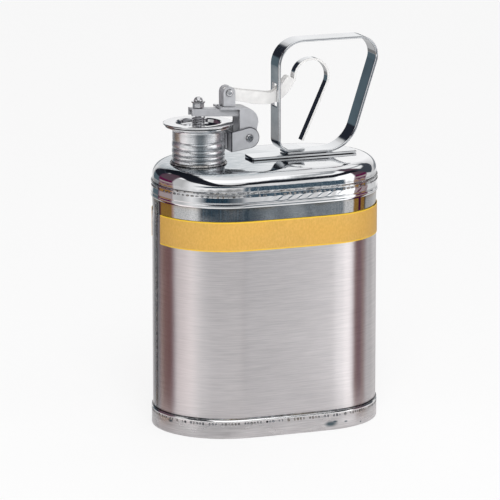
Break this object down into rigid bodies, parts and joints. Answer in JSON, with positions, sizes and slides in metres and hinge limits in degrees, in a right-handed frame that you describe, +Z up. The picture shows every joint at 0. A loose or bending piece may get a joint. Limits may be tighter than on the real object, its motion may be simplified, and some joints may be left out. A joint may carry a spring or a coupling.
{
  "type": "safety can",
  "caption": "Flat-oval steel safety can with a ribbed neck, a spring-closed cap and a trigger in its band handle.",
  "frame": {"origin": "centre of the base, on the surface that the can stands on", "axes": "+Z up, +X from the neck towards the handle's rear leg, -Y the can's front"},
  "size_m": [0.1931, 0.1222, 0.3189],
  "materials": {
    "brushed_body": "brushed",
    "polished_head": "polished",
    "polished_band": "polished",
    "weld_metal": "rippled weld",
    "satin_bracket": "satin",
    "spring_steel": "drawn wire",
    "screen_mesh": "woven wire mesh",
    "yellow_stripe": "satin",
    "seal": "matte"
  },
  "bodies": {
    "can": {"body_shell": "brushed_body", "bottom_pan": "brushed_body", "base_weld_bead": "weld_metal", "side_weld_seam": "weld_metal", "yellow_band": "yellow_stripe", "top_head": "polished_head", "top_weld_bead": "weld_metal", "neck": "polished_head", "neck_weld_ring": "weld_metal", "arrester_rim": "polished_head", "arrester_screen": "screen_mesh", "arrester_cap": "screen_mesh", "hinge_bracket": "satin_bracket", "bracket_saddle": "satin_bracket", "hinge_pin": "satin_bracket", "hinge_sleeve": "satin_bracket", "closing_spring": "spring_steel", "handle_strap": "polished_band", "handle_loop": "polished_band"},
    "cap_lever": {"cap_arm": "satin_bracket", "arm_rivet": "satin_bracket", "lever_bracket": "satin_bracket", "lug": "satin_bracket", "lever_pin": "satin_bracket", "cap_stud": "satin_bracket", "stud_washer": "satin_bracket", "cap_nut": "satin_bracket", "seat_spring": "spring_steel"},
    "cap": {"cap": "polished_head", "cap_gasket": "seal"},
    "trigger": {"trigger_lever": "satin_bracket"}
  },
  "joints": [
    {"name": "cap_hinge", "type": "hinge", "parent": "can", "child": "cap_lever", "pos_m": [-0.0175, 0, 0.2404], "axis": [0, 1, 0], "range_deg": [0, 35], "stiffness_Nm_per_rad": 0.3, "springref_deg": -34.38, "deforming": ["closing_spring"]},
    {"name": "cap_swivel", "type": "hinge", "parent": "cap_lever", "child": "cap", "pos_m": [-0.0581, 0, 0.2547], "axis": [0, 0, 1], "continuous": true},
    {"name": "trigger_pivot", "type": "hinge", "parent": "cap_lever", "child": "trigger", "pos_m": [-0.033, 0, 0.278], "axis": [0, 1, 0], "range_deg": [-30, 0]}
  ],
  "couplings": [
    {"joint": "trigger_pivot", "follows": "cap_hinge", "ratio": -0.85}
  ]
}
